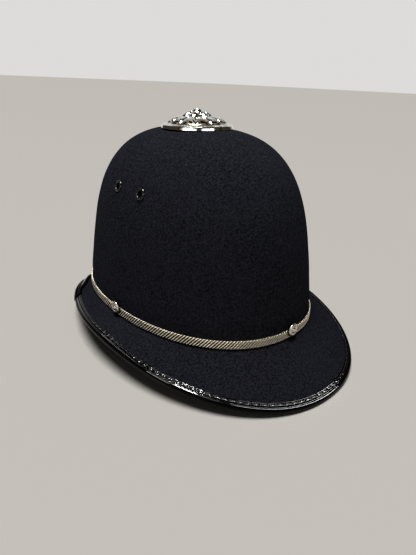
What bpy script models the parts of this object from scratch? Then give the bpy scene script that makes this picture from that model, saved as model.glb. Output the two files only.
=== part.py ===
"""Custodian helmet: a tall oval crown, a drooping brim with a leather binding, a wire chain band held by
four studs, two vent eyelets on each side and a pierced metal rose on the top.

Metres, +Z up. The front faces -Y and the wearer's right side is -X. The origin is on the surface that the
helmet rests on, under the middle of the brim.
"""

import math

import bmesh
import bpy
from mathutils import Matrix, Vector

# Clearance between pieces, and how far the crown's flat facets may lie inside its true curve
FIT_GAP = 0.0003
FACET_SAG = 0.0003

# Crown: an oval in plan, drawn in by its taper and closed by a round shoulder
CROWN_LENGTH = 0.248
CROWN_WIDTH = 0.186
CROWN_HEIGHT = 0.1566
CROWN_WALL = 0.003
CROWN_SET_BACK = 0.0108
CROWN_LEAN_BACK = 0.0023
CROWN_LEAN_POWER = 1.5
CROWN_FOOT_DRAW = 0.0015
CROWN_FOOT_DRAW_HEIGHT = 0.018
CROWN_TAPER = 0.181
CROWN_OVAL_POWER = 2.18
CROWN_SHOULDER_POWER = 4.42
CROWN_FRONT_DOME_POWER = 3.32
CROWN_BACK_DOME_POWER = 2.55

# Brim
BRIM_LENGTH = 0.3205
BRIM_WIDTH = 0.237
BRIM_THICKNESS = 0.0026
BRIM_ROOT_HEIGHT = 0.0337
BRIM_SIDE_LIFT = 0.0222
BRIM_FRONT_OVAL_POWER = 2.14
BRIM_BACK_OVAL_POWER = 1.90
BRIM_FRONT_SWEEP = 1.29
BRIM_BACK_SWEEP = 2.4
BRIM_FRONT_DROOP = 0.40
BRIM_BACK_DROOP = 0.75
COLLAR_HEIGHT = 0.012
COLLAR_WALL = 0.002

# Leather binding over the brim's edge
BINDING_WIDTH = 0.0085
BINDING_LEATHER = 0.0012
BINDING_FLATTENED = 0.0007

# Corners of the folded leather round the edge, in degrees up from the outward direction
BINDING_TURNS = (90, 45, 0, -40, -65, -90)

# Wire chain band at the foot of the crown
BAND_HEIGHT = 0.0076
BAND_THICKNESS = 0.0017

# Section of the band: shares of its thickness outward and of its height upward
BAND_PROFILE = (
    {"out": 0.00, "up": 0.00},
    {"out": 0.45, "up": 0.00},
    {"out": 1.00, "up": 0.25},
    {"out": 0.60, "up": 0.50},
    {"out": 1.00, "up": 0.75},
    {"out": 0.45, "up": 1.00},
    {"out": 0.00, "up": 1.00},
)

# Band studs
STUD_HEAD_DIAMETER = 0.0118
STUD_HEAD_DEPTH = 0.003
STUD_STAND_OFF = 0.0005
STUD_SHANK_DIAMETER = 0.0022
STUD_CENTRE_HEIGHT = 0.0072
STUD_CLENCH_DIAMETER = 0.005
STUD_CLENCH_THICKNESS = 0.0008

# Turned shape of a stud's head: shares of its radius and of its depth
STUD_PROFILE = (
    {"radius": 0.00, "depth": 1.00},
    {"radius": 0.30, "depth": 0.94},
    {"radius": 0.44, "depth": 0.66},
    {"radius": 0.80, "depth": 0.52},
    {"radius": 1.00, "depth": 0.20},
    {"radius": 0.94, "depth": 0.00},
)

# Vent eyelets
EYELET_DIAMETER = 0.0102
EYELET_HOLE_DIAMETER = 0.0046
EYELET_BARREL_DIAMETER = 0.0064
EYELET_ROLL = 0.0012
EYELET_INNER_DIAMETER = 0.0084
EYELET_INNER_THICKNESS = 0.0007
EYELET_CENTRE_HEIGHT = 0.1098
EYELET_SPACING = 0.0326

# Rolled rim of an eyelet: shares of the way from its hole to its edge and of the roll's height
EYELET_PROFILE = (
    {"out": 0.00, "up": 0.55},
    {"out": 0.50, "up": 1.00},
    {"out": 0.87, "up": 0.62},
    {"out": 1.00, "up": 0.25},
    {"out": 0.92, "up": 0.00},
)

# Rose on the top
ROSE_DIAMETER = 0.0642
ROSE_HEIGHT = 0.0154
ROSE_SEAT_DROP = 0.0006
ROSE_SET_BACK = 0.001
ROSE_LEAN_DEGREES = 2.0
ROSE_METAL = 0.0012
ROSE_OUTER_PETALS = 12
ROSE_INNER_PETALS = 6
ROSE_PETAL_RELIEF = 0.0011
ROSE_INNER_RELIEF = 0.0015
ROSE_WINDOW_WIDTH = 0.0094
ROSE_WINDOW_LENGTH = 0.0056
ROSE_VENT_DIAMETER = 0.0024
ROSE_STEM_DIAMETER = 0.006
ROSE_STEM_END = 0.003

# Turned shape of the rose: radius and height as shares of its radius and height
ROSE_PROFILE = (
    {"radius": 1.00, "height": 0.08},
    {"radius": 0.91, "height": 0.16},
    {"radius": 0.83, "height": 0.235},
    {"radius": 0.76, "height": 0.31},
    {"radius": 0.66, "height": 0.42},
    {"radius": 0.54, "height": 0.53},
    {"radius": 0.42, "height": 0.64},
    {"radius": 0.34, "height": 0.715},
    {"radius": 0.24, "height": 0.79},
    {"radius": 0.15, "height": 0.86},
    {"radius": 0.11, "height": 0.95},
)

# Rows of petals: their number, the shares of the rose's radius between which they rise, and their relief
ROSE_PETAL_ROWS = (
    {"petals": ROSE_OUTER_PETALS, "inner": 0.36, "outer": 0.86, "relief": ROSE_PETAL_RELIEF},
    {"petals": ROSE_INNER_PETALS, "inner": 0.12, "outer": 0.38, "relief": ROSE_INNER_RELIEF},
)

# Rows of the turned shape that the underside follows, and the one at whose height the stem starts
ROSE_UNDER_ROWS = (1, 4, 7)
ROSE_STEM_ROW = 8
ROSE_WINDOW_OUTER_EDGE = 0.80
ROSE_VENT_RING = 0.40

# How finely curves are divided
OVAL_SEGMENTS = 48
CROWN_RINGS = 13
BRIM_STEPS = 4
ROUND_SEGMENTS = 12
ROSE_SEGMENTS = 48
ROSE_ARCH_STEPS = 4
ROSE_VENT_SEGMENTS = 8

FRONT, LEFT, BACK, RIGHT = -math.pi / 2, 0.0, math.pi / 2, math.pi
UP = Vector((0, 0, 1))


def clear_scene():
    for old in list(bpy.data.objects):
        bpy.data.objects.remove(old, do_unlink=True)


def material(name, colour, roughness, metallic=0.0):
    made = bpy.data.materials.new(name)
    made.use_nodes = True
    shader = made.node_tree.nodes["Principled BSDF"]
    shader.inputs["Base Color"].default_value = (*colour, 1.0)
    shader.inputs["Roughness"].default_value = roughness
    shader.inputs["Metallic"].default_value = metallic
    made.diffuse_color = (*colour, 1.0)
    return made


def add_object(name, shape, look=None):
    """Make an object from a bmesh with its faces turned outward and its round surfaces smooth."""
    bmesh.ops.recalc_face_normals(shape, faces=shape.faces)
    mesh = bpy.data.meshes.new(name)
    shape.to_mesh(mesh)
    shape.free()
    mesh.shade_smooth()
    mesh.set_sharp_from_angle(angle=math.radians(40))
    made = bpy.data.objects.new(name, mesh)
    bpy.context.scene.collection.objects.link(made)
    if look:
        mesh.materials.append(look)
    return made


def add_cutter(name, shape):
    made = add_object(name, shape)
    made.hide_render = True
    made.display_type = "WIRE"
    return made


def cut(target, cutter):
    modifier = target.modifiers.new("Cut " + cutter.name, "BOOLEAN")
    modifier.operation = "DIFFERENCE"
    modifier.solver = "EXACT"
    modifier.object = cutter


def skin_rings(shape, rings, joined):
    """Skin closed rings of points in order. A ring of one point closes an end; joined makes a loop."""
    rows = [[shape.verts.new(point) for point in ring] for ring in rings]
    pairs = list(zip(rows, rows[1:]))
    if joined:
        pairs.append((rows[-1], rows[0]))
    for near, far in pairs:
        count = max(len(near), len(far))
        for i in range(count):
            j = (i + 1) % count
            corners = [near[i % len(near)], near[j % len(near)], far[j % len(far)], far[i % len(far)]]
            shape.faces.new(list(dict.fromkeys(corners)))


def turned(shape, profile, segments, place, joined):
    """Turn a profile of (radius, height) about the local Z of place."""
    rings = []
    for radius, height in profile:
        turns = segments if radius > 0 else 1
        ring = []
        for i in range(turns):
            angle = math.tau * i / segments
            ring.append(place @ Vector((radius * math.cos(angle), radius * math.sin(angle), height)))
        rings.append(ring)
    skin_rings(shape, rings, joined)


def prism(shape, low, high):
    """Join two equal rings of points into a closed solid."""
    bottom = [shape.verts.new(point) for point in low]
    top = [shape.verts.new(point) for point in high]
    shape.faces.new(bottom)
    shape.faces.new(top)
    for i in range(len(low)):
        shape.faces.new([bottom[i - 1], bottom[i], top[i], top[i - 1]])


def cylinder(shape, radius, low, high, place):
    turned(shape, [(0, low), (radius, low), (radius, high), (0, high)], ROUND_SEGMENTS, place, False)


def oval(angle, half_width, half_length, power):
    """Point in plan of a superellipse, as if drawn by a round angle."""
    c, s = math.cos(angle), math.sin(angle)
    x = math.copysign(abs(c) ** (2 / power), c) * half_width
    y = math.copysign(abs(s) ** (2 / power), s) * half_length
    return Vector((x, y, 0))


def oval_angles():
    return [math.tau * i / OVAL_SEGMENTS for i in range(OVAL_SEGMENTS)]


def crown_axis(rise):
    """Point on the crown's middle line, which leans back as it rises."""
    back = CROWN_SET_BACK + CROWN_LEAN_BACK * rise**CROWN_LEAN_POWER
    return Vector((0, back, BRIM_ROOT_HEIGHT + rise * CROWN_HEIGHT))


def front_to_back(angle, front, back):
    """Value that changes smoothly from the front of the helmet to its back."""
    return front + (back - front) * (1 + math.sin(angle)) / 2


def crown_point(angle, rise):
    """Point on the crown's outside at a share of its height above its foot."""
    power = front_to_back(angle, CROWN_FRONT_DOME_POWER, CROWN_BACK_DOME_POWER)
    reach = (1 - CROWN_TAPER * rise) * (1 - rise**CROWN_SHOULDER_POWER) ** (1 / power)
    draw = CROWN_FOOT_DRAW * max(0, 1 - rise * CROWN_HEIGHT / CROWN_FOOT_DRAW_HEIGHT)
    plan = oval(angle, CROWN_WIDTH / 2 - draw, CROWN_LENGTH / 2 - draw, CROWN_OVAL_POWER)
    return crown_axis(rise) + plan * reach


def crown_normal(angle, rise):
    """Outward direction of the crown's outside."""
    if rise == 1:
        return UP
    step = 0.001
    along = crown_point(angle + step, rise) - crown_point(angle - step, rise)
    upward = crown_point(angle, min(rise + step, 1)) - crown_point(angle, max(rise - step, 0))
    return along.cross(upward).normalized()


def crown_seat(angle, height):
    """Frame on the crown's outside at a height above its foot, its Z axis pointing outward."""
    rise = height / CROWN_HEIGHT
    turn = crown_normal(angle, rise).to_track_quat("Z", "Y").to_matrix().to_4x4()
    return Matrix.Translation(crown_point(angle, rise)) @ turn


def crown_rises():
    """Shares of the crown's height for its rings, closer together towards the shoulder."""
    turns = [math.pi / 2 * (i / CROWN_RINGS) ** 2 for i in range(CROWN_RINGS)]
    return [math.sin(turn) ** (2 / CROWN_SHOULDER_POWER) for turn in turns]


def crown_ring(rise, inset):
    """Ring of points set in from the crown's outside. None of them is below the crown's foot."""
    points = [crown_point(angle, rise) - crown_normal(angle, rise) * inset for angle in oval_angles()]
    return [Vector((p.x, p.y, max(p.z, BRIM_ROOT_HEIGHT))) for p in points]


def build_crown(felt):
    top = crown_point(0, 1)
    inside = [crown_ring(rise, CROWN_WALL) for rise in crown_rises()]
    outside = [crown_ring(rise, 0) for rise in crown_rises()]
    shape = bmesh.new()
    skin_rings(shape, [[top - UP * CROWN_WALL], *reversed(inside), *outside, [top]], False)
    return add_object("crown", shape, felt)


def binding_roll():
    """Half the thickness of the bound edge."""
    return BRIM_THICKNESS / 2 + FIT_GAP + BINDING_LEATHER


def brim_edge(angle):
    """Centre of the bound edge. It rests at the front and back, and lifts at the sides."""
    roll = binding_roll()
    front = math.sin(angle) < 0
    power = BRIM_FRONT_OVAL_POWER if front else BRIM_BACK_OVAL_POWER
    sweep = BRIM_FRONT_SWEEP if front else BRIM_BACK_SWEEP
    plan = oval(angle, BRIM_WIDTH / 2 - roll, BRIM_LENGTH / 2 - roll, power)
    along = abs(plan.y) / (BRIM_LENGTH / 2 - roll)
    lift = BRIM_SIDE_LIFT * (1 - along**sweep)
    return plan + UP * (roll - BINDING_FLATTENED + lift)


class BrimSection:
    """Middle line of the brim at one angle: a curve from the crown's foot to the bound edge."""

    def __init__(self, angle):
        foot = crown_point(angle, 0)
        self.start = foot - UP * (FIT_GAP + BRIM_THICKNESS / 2)
        self.end = brim_edge(angle)
        fall = self.start.z - self.end.z
        self.bend = (self.start + self.end) / 2
        self.bend.z = self.start.z - front_to_back(angle, BRIM_FRONT_DROOP, BRIM_BACK_DROOP) * fall
        outward = self.end - self.start
        outward.z = 0
        self.side = outward.normalized().cross(UP)

    def point(self, share, offset):
        """Point at a share of the way out, offset to the upper side."""
        near = self.start.lerp(self.bend, share)
        far = self.bend.lerp(self.end, share)
        return near.lerp(far, share) + self.normal(share) * offset

    def tangent(self, share):
        return (self.bend - self.start).lerp(self.end - self.bend, share).normalized()

    def normal(self, share):
        return self.side.cross(self.tangent(share)).normalized()

    def back_from_edge(self, distance):
        """Share of the way out that lies a distance back from the edge's centre."""
        return 1 - distance / (2 * (self.end - self.bend).length)

    def round_edge(self, radius, turn):
        """Point round the edge, turned from the outward direction towards the upper side."""
        return self.end + (self.tangent(1) * math.cos(turn) + self.normal(1) * math.sin(turn)) * radius


def rings_of(sections):
    """Turn a list of section outlines into rings that run round the oval."""
    return [list(ring) for ring in zip(*sections)]


def brim_outline(angle):
    """Closed outline of the brim at one angle, from the collar over the top to the edge and back below."""
    section = BrimSection(angle)
    half = BRIM_THICKNESS / 2
    inner = CROWN_WALL + FIT_GAP + COLLAR_WALL
    collar_rise = COLLAR_HEIGHT / CROWN_HEIGHT
    wall = crown_normal(angle, 0)
    wall.z = 0
    wall.normalize()
    shelf = crown_point(angle, 0) - UP * FIT_GAP
    high = crown_point(angle, collar_rise)
    shares = [i / BRIM_STEPS for i in range(BRIM_STEPS + 1)]
    collar = [
        high - wall * inner,
        high - wall * (CROWN_WALL + FIT_GAP),
        shelf - wall * (CROWN_WALL + FIT_GAP),
        shelf,
    ]
    above = [section.point(share, half) for share in shares[1:]]
    below = [section.point(share, -half) for share in reversed(shares)]
    root = shelf - wall * inner - UP * BRIM_THICKNESS
    return [*collar, *above, section.round_edge(half, 0), *below, root]


def build_brim(felt):
    shape = bmesh.new()
    skin_rings(shape, rings_of([brim_outline(angle) for angle in oval_angles()]), True)
    return add_object("brim", shape, felt)


def binding_outline(angle):
    """Closed outline of the folded leather at one angle, outer side then channel."""
    section = BrimSection(angle)
    roll = binding_roll()
    channel = BRIM_THICKNESS / 2 + FIT_GAP
    hem = section.back_from_edge(BINDING_WIDTH - roll)
    turns = [math.radians(degrees) for degrees in BINDING_TURNS]
    folded = [section.round_edge(roll, turn) for turn in turns]
    outer = [section.point(hem, roll), *folded, section.point(hem, -roll)]
    inner = [
        section.point(hem, -channel),
        section.point(1, -channel),
        section.round_edge(channel, 0),
        section.point(1, channel),
        section.point(hem, channel),
    ]
    resting = [Vector((p.x, p.y, max(p.z, 0))) for p in outer]
    return resting + inner


def build_binding(leather):
    shape = bmesh.new()
    skin_rings(shape, rings_of([binding_outline(angle) for angle in oval_angles()]), True)
    return add_object("edge_binding", shape, leather)


def band_outline(angle):
    """Closed outline of the band at one angle: two lengthwise ridges with a groove between them."""
    points = []
    for row in BAND_PROFILE:
        rise = (FIT_GAP + row["up"] * BAND_HEIGHT) / CROWN_HEIGHT
        outward = FIT_GAP + row["out"] * BAND_THICKNESS
        points.append(crown_point(angle, rise) + crown_normal(angle, rise) * outward)
    return points


def build_band(wire):
    shape = bmesh.new()
    skin_rings(shape, rings_of([band_outline(angle) for angle in oval_angles()]), True)
    return add_object("chain_band", shape, wire)


def stud_reach():
    """Depth from the crown's outside to the clenched end that lies against the collar."""
    return CROWN_WALL + FIT_GAP + COLLAR_WALL + FIT_GAP + FACET_SAG


def build_stud(name, angle, chrome):
    """Head, shank and clenched end in one piece. Its own Z axis points out of the crown."""
    head = STUD_HEAD_DIAMETER / 2
    shank = STUD_SHANK_DIAMETER / 2
    clench = STUD_CLENCH_DIAMETER / 2
    back = FIT_GAP + BAND_THICKNESS + STUD_STAND_OFF
    inside = -stud_reach()
    end = inside - STUD_CLENCH_THICKNESS
    profile = [(row["radius"] * head, back + row["depth"] * STUD_HEAD_DEPTH) for row in STUD_PROFILE]
    profile += [
        (shank, back),
        (shank, inside),
        (clench, inside),
        (clench, end),
        (0, end),
    ]
    shape = bmesh.new()
    turned(shape, profile, ROUND_SEGMENTS, crown_seat(angle, STUD_CENTRE_HEIGHT), False)
    return add_object(name, shape, chrome)


def stud_bores(studs):
    """Clearance bores through the band, the crown's wall and the collar."""
    shape = bmesh.new()
    radius = STUD_SHANK_DIAMETER / 2 + FIT_GAP
    outer = FIT_GAP + BAND_THICKNESS + STUD_STAND_OFF
    inner = -stud_reach() - STUD_CLENCH_THICKNESS
    for angle in studs.values():
        cylinder(shape, radius, inner - FIT_GAP, outer + FIT_GAP, crown_seat(angle, STUD_CENTRE_HEIGHT))
    return add_cutter("stud_bores", shape)


def eyelet_angle(side, along):
    """Angle on one side of the crown that lies a distance along behind its middle."""
    rise = EYELET_CENTRE_HEIGHT / CROWN_HEIGHT
    low, high = -math.pi / 3, math.pi / 3
    for _ in range(40):
        middle = (low + high) / 2
        if crown_point(middle, rise).y - crown_axis(rise).y < along:
            low = middle
        else:
            high = middle
    return middle if side == LEFT else math.pi - middle


def build_eyelet(name, angle, metal):
    """Rolled flange outside, barrel through the wall and flat flange inside, in one piece."""
    flange = EYELET_DIAMETER / 2
    hole = EYELET_HOLE_DIAMETER / 2
    barrel = EYELET_BARREL_DIAMETER / 2
    washer = EYELET_INNER_DIAMETER / 2
    inside = -CROWN_WALL - FIT_GAP - FACET_SAG
    end = inside - EYELET_INNER_THICKNESS
    roll = flange - hole
    profile = [(hole + row["out"] * roll, FIT_GAP + row["up"] * EYELET_ROLL) for row in EYELET_PROFILE]
    profile += [
        (barrel, FIT_GAP),
        (barrel, inside),
        (washer, inside),
        (washer, end),
        (hole, end),
    ]
    shape = bmesh.new()
    turned(shape, profile, ROUND_SEGMENTS, crown_seat(angle, EYELET_CENTRE_HEIGHT), True)
    return add_object(name, shape, metal)


def vent_bores(eyelets):
    """Bores through the crown for the eyelets and for the rose's stem."""
    shape = bmesh.new()
    through = CROWN_WALL + FIT_GAP + FACET_SAG + EYELET_INNER_THICKNESS
    for angle in eyelets.values():
        place = crown_seat(angle, EYELET_CENTRE_HEIGHT)
        cylinder(shape, EYELET_BARREL_DIAMETER / 2 + FIT_GAP, -through, EYELET_ROLL, place)
    place = rose_lean() @ Matrix.Translation(rose_base())
    cylinder(shape, ROSE_STEM_DIAMETER / 2 + FIT_GAP, -CROWN_WALL - ROSE_STEM_END, ROSE_METAL, place)
    return add_cutter("vent_bores", shape)


def petal_relief(share, angle):
    """Height that the petals add at a share of the rose's radius."""
    lift = 0.0
    for row in ROSE_PETAL_ROWS:
        if row["inner"] < share < row["outer"]:
            across = math.sin(math.pi * (share - row["inner"]) / (row["outer"] - row["inner"]))
            along = math.sqrt(abs(math.cos(row["petals"] * angle / 2)))
            lift += row["relief"] * across * along
    return lift


def rose_base():
    """Middle of the plane that the rose's rim lies in."""
    return crown_point(0, 1) + Vector((0, ROSE_SET_BACK, FIT_GAP - ROSE_SEAT_DROP))


def rose_lean():
    """Turn about the middle of the rose's rim that leans it back, as the crown's top falls to the back."""
    base = rose_base()
    turn = Matrix.Rotation(math.radians(-ROSE_LEAN_DEGREES), 4, "X")
    return Matrix.Translation(base) @ turn @ Matrix.Translation(-base)


def rose_rings(base, drop):
    """Rings over the rose's face, or under it when dropped by the metal's thickness."""
    rings = []
    for row in ROSE_PROFILE:
        radius = row["radius"] * (ROSE_DIAMETER / 2)
        ring = []
        for i in range(ROSE_SEGMENTS):
            angle = math.tau * i / ROSE_SEGMENTS
            height = row["height"] * ROSE_HEIGHT + petal_relief(row["radius"], angle) - drop
            ring.append(base + Vector((radius * math.cos(angle), radius * math.sin(angle), height)))
        rings.append(ring)
    return rings


def rose_openings():
    """One arched window under each outer petal and one small round vent between inner petals."""
    shape = bmesh.new()
    base = rose_base()
    radius = ROSE_DIAMETER / 2
    outer_edge = ROSE_WINDOW_OUTER_EDGE * radius
    half = ROSE_WINDOW_WIDTH / 2
    arch_centre = outer_edge - (ROSE_WINDOW_LENGTH - half)
    arch = [math.pi * (0.5 + i / ROSE_ARCH_STEPS) for i in range(ROSE_ARCH_STEPS + 1)]
    plan = [Vector((outer_edge, -half, 0)), Vector((outer_edge, half, 0))]
    plan += [Vector((arch_centre + half * math.cos(a), half * math.sin(a), 0)) for a in arch]
    for petal in range(ROSE_OUTER_PETALS):
        turn = Matrix.Rotation(math.tau * petal / ROSE_OUTER_PETALS, 4, "Z")
        low = [base + turn @ point for point in plan]
        prism(shape, low, [point + UP * ROSE_HEIGHT for point in low])
    for petal in range(ROSE_INNER_PETALS):
        angle = math.tau * (petal + 0.5) / ROSE_INNER_PETALS
        centre = base + Vector((math.cos(angle), math.sin(angle), 0)) * (ROSE_VENT_RING * radius)
        vent = ROSE_VENT_DIAMETER / 2
        profile = [(0, 0), (vent, 0), (vent, ROSE_HEIGHT), (0, ROSE_HEIGHT)]
        turned(shape, profile, ROSE_VENT_SEGMENTS, Matrix.Translation(centre), False)
    bmesh.ops.transform(shape, matrix=rose_lean(), verts=shape.verts)
    return add_cutter("rose_openings", shape)


def build_rose(chrome):
    """Pierced shell with petals in relief and a stem that passes down through the crown."""
    base = rose_base()
    face = rose_rings(base, 0)
    under = rose_rings(base, ROSE_METAL)
    rim = [Vector((p.x, p.y, base.z)) for p in face[0]]
    foot = [Vector((p.x, p.y, base.z)) for p in under[ROSE_UNDER_ROWS[0]]]
    stem = ROSE_STEM_DIAMETER / 2
    stem_turns = [math.tau * i / ROSE_SEGMENTS for i in range(ROSE_SEGMENTS)]
    stem_end = -CROWN_WALL - FIT_GAP - ROSE_STEM_END
    stem_top = min(p.z for p in under[ROSE_STEM_ROW]) - base.z
    stem_rings = [
        [base + Vector((stem * math.cos(a), stem * math.sin(a), height)) for a in stem_turns]
        for height in (stem_top, stem_end)
    ]
    shape = bmesh.new()
    peak = base + UP * ROSE_HEIGHT
    closing = base + UP * stem_end
    inside = [under[row] for row in ROSE_UNDER_ROWS]
    skin_rings(shape, [[peak], *reversed(face), rim, foot, *inside, *stem_rings, [closing]], False)
    bmesh.ops.transform(shape, matrix=rose_lean(), verts=shape.verts)
    return add_object("rose", shape, chrome)


def main():
    clear_scene()
    felt = material("felt", (0.012, 0.0125, 0.016), 0.95)
    leather = material("patent_leather", (0.006, 0.006, 0.007), 0.12)
    wire = material("silver_wire", (0.60, 0.56, 0.47), 0.30, 1.0)
    chrome = material("chrome", (0.85, 0.85, 0.86), 0.08, 1.0)
    black_metal = material("black_metal", (0.02, 0.02, 0.022), 0.20, 0.8)

    studs = {"stud_front": FRONT, "stud_left": LEFT, "stud_back": BACK, "stud_right": RIGHT}
    eyelets = {
        "eyelet_left_front": eyelet_angle(LEFT, -EYELET_SPACING / 2),
        "eyelet_left_rear": eyelet_angle(LEFT, EYELET_SPACING / 2),
        "eyelet_right_front": eyelet_angle(RIGHT, -EYELET_SPACING / 2),
        "eyelet_right_rear": eyelet_angle(RIGHT, EYELET_SPACING / 2),
    }

    crown = build_crown(felt)
    brim = build_brim(felt)
    build_binding(leather)
    band = build_band(wire)
    for name, angle in studs.items():
        build_stud(name, angle, chrome)
    for name, angle in eyelets.items():
        build_eyelet(name, angle, black_metal)
    rose = build_rose(chrome)

    through_band = stud_bores(studs)
    for piece in (crown, brim, band):
        cut(piece, through_band)
    cut(crown, vent_bores(eyelets))
    cut(rose, rose_openings())


main()
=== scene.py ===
"""Custodian helmet, dressed: felt crown and brim, patent binding, wire band, studs, vent eyelets and rose.

The helmet stands on its brim with its front towards -Y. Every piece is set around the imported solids.
All sizes are in metres.
"""

import math

import bmesh
import bpy
import numpy as np
from mathutils import Matrix, Vector, noise


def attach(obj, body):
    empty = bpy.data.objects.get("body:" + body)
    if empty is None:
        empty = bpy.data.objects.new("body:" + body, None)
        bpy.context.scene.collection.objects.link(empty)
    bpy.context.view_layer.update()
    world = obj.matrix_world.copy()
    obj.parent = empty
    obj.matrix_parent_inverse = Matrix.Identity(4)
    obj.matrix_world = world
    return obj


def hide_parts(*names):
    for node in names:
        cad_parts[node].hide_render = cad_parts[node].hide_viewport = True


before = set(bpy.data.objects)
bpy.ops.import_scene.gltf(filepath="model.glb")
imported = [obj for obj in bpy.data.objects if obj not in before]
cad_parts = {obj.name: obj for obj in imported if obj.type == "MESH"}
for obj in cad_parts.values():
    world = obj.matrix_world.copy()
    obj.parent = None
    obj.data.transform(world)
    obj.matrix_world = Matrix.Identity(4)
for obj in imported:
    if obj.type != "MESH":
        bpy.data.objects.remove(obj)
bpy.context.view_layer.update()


# Crown
# The crown is one tall oval shell of hard wool felt, blocked over a former without a seam.
# Its foot is drawn in a little, to seat the wire band. Two vent holes are punched through each side.

CROWN_LENGTH = 0.248
CROWN_WIDTH = 0.186
CROWN_HEIGHT = 0.1566
CROWN_WALL = 0.003
CROWN_SET_BACK = 0.0108
CROWN_LEAN_BACK = 0.0023
CROWN_LEAN_POWER = 1.5
CROWN_FOOT_DRAW = 0.0015
CROWN_FOOT_DRAW_HEIGHT = 0.018
CROWN_TAPER = 0.181
CROWN_OVAL_POWER = 2.18
CROWN_SHOULDER_POWER = 4.42
CROWN_FRONT_DOME_POWER = 3.32
CROWN_BACK_DOME_POWER = 2.55
CROWN_FOOT_HEIGHT = 0.0337
CROWN_FOOT_ROUNDING = 0.0009
CROWN_FOOT_ARC = ((0.0, 1.0), (0.29, 0.29), (1.0, 0.0))
CROWN_COLUMNS = 240
CROWN_ROWS = 70
CROWN_ROW_CROWDING = 1.5
CROWN_TOP = 0.99999
CROWN_WAVE = 0.00028
CROWN_WAVE_SIZE = 0.035
CROWN_WAVE_FADE = 6

EYELET_HEIGHT = 0.1098
EYELET_SPACING = 0.0326
EYELET_BORE = 0.0070
EYELET_SEARCH_STEPS = 20001
PUNCH_DEPTH = 0.016
PUNCH_SEGMENTS = 32

FELT_DARK = (0.0069, 0.0072, 0.0103)
FELT_LIGHT = (0.0370, 0.0380, 0.0478)
FELT_WORN = (0.0295, 0.0300, 0.0378)
FELT_SHEEN = (0.80, 0.84, 1.0, 1)
LINT_COLOUR = (0.075, 0.075, 0.085, 1)
NAP_SCALE = 1300
TUFT_SCALE = 620
WORN_PATCH_SCALE = 26
LINT_SCALE = 95.0
NAP_DEPTH = 0.0006
TUFT_DEPTH = 0.0007

FRONT, LEFT, BACK, RIGHT = -math.pi / 2, 0.0, math.pi / 2, math.pi


def oval(angle, half_width, half_length, power):
    """Plan of an oval that is a little squarer or a little more pointed than an ellipse."""
    c, s = np.cos(angle), np.sin(angle)
    x = np.sign(c) * np.abs(c) ** (2 / power) * half_width
    y = np.sign(s) * np.abs(s) ** (2 / power) * half_length
    return np.stack([x, y, np.zeros_like(x)], -1)


def unit(vectors):
    return vectors / np.linalg.norm(vectors, axis=-1, keepdims=True)


def crown_axis(rise):
    """Middle of the crown at a share of its height. It leans back a little towards the top."""
    rise = np.asarray(rise, float)
    back = CROWN_SET_BACK + CROWN_LEAN_BACK * rise**CROWN_LEAN_POWER
    return np.stack([np.zeros_like(rise), back, CROWN_FOOT_HEIGHT + rise * CROWN_HEIGHT], -1)


def crown_point(angle, rise):
    """Point of the crown's outside, at a share of its height above its foot."""
    angle, rise = np.broadcast_arrays(np.asarray(angle, float), np.asarray(rise, float))
    to_back = (1 + np.sin(angle)) / 2
    power = CROWN_FRONT_DOME_POWER + (CROWN_BACK_DOME_POWER - CROWN_FRONT_DOME_POWER) * to_back
    reach = (1 - CROWN_TAPER * rise) * (1 - rise**CROWN_SHOULDER_POWER) ** (1 / power)
    draw = CROWN_FOOT_DRAW * np.maximum(0, 1 - rise * CROWN_HEIGHT / CROWN_FOOT_DRAW_HEIGHT)
    plan = oval(angle, CROWN_WIDTH / 2 - draw, CROWN_LENGTH / 2 - draw, CROWN_OVAL_POWER)
    return crown_axis(rise) + plan * reach[..., None]


def crown_normal(angle, rise):
    """Direction straight out of the crown's outside."""
    angle, rise = np.broadcast_arrays(np.asarray(angle, float), np.asarray(rise, float))
    step = 0.001
    tiny = 1e-15
    along = crown_point(angle + step, rise) - crown_point(angle - step, rise)
    upward = crown_point(angle, np.minimum(rise + step, 1)) - crown_point(angle, np.maximum(rise - step, 0))
    normal = unit(np.cross(along, upward) + tiny)
    normal[rise > CROWN_TOP] = (0, 0, 1)
    return normal


def crown_seat(angle, height):
    """Frame on the crown's outside, its Z axis pointing out of the felt."""
    rise = height / CROWN_HEIGHT
    turn = Vector(crown_normal(angle, rise)).to_track_quat("Z", "Y").to_matrix().to_4x4()
    return Matrix.Translation(Vector(crown_point(angle, rise))) @ turn


def new_piece(name, mesh, look, slot, *nodes):
    """Shade, dress and fix a finished mesh, and let it stand for its solids."""
    mesh.name = name
    mesh.materials.append(look)
    mesh.shade_smooth()
    piece = bpy.data.objects.new(name, mesh)
    bpy.context.scene.collection.objects.link(piece)
    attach(piece, "root")
    if nodes:
        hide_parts(*nodes)
    return piece


def skin(rows, closed_rows=False, low_cap=False, high_cap=False):
    """Mesh over rows of points, each a closed ring. closed_rows joins the last row to the first."""
    rows = np.asarray(rows, float)
    count, around = rows.shape[:2]
    points = rows.reshape(-1, 3)
    index = np.arange(count * around).reshape(count, around)
    following = np.roll(index, -1, axis=1)
    near = np.arange(count if closed_rows else count - 1)
    far = (near + 1) % count
    quads = np.stack([index[near], following[near], following[far], index[far]], -1).reshape(-1, 4)
    faces = quads.tolist()
    points = points.tolist()
    for wanted, row in ((low_cap, 0), (high_cap, count - 1)):
        if wanted:
            middle = len(points)
            points.append(rows[row].mean(0).tolist())
            ring = index[row].tolist()
            for i in range(around):
                pair = [ring[(i + 1) % around], ring[i]] if row == 0 else [ring[i], ring[(i + 1) % around]]
                faces.append([*pair, middle])
    mesh = bpy.data.meshes.new("skin")
    mesh.from_pydata(points, [], faces)
    mesh.validate()
    shape = bmesh.new()
    shape.from_mesh(mesh)
    bmesh.ops.recalc_face_normals(shape, faces=shape.faces)
    shape.to_mesh(mesh)
    shape.free()
    return mesh


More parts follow.
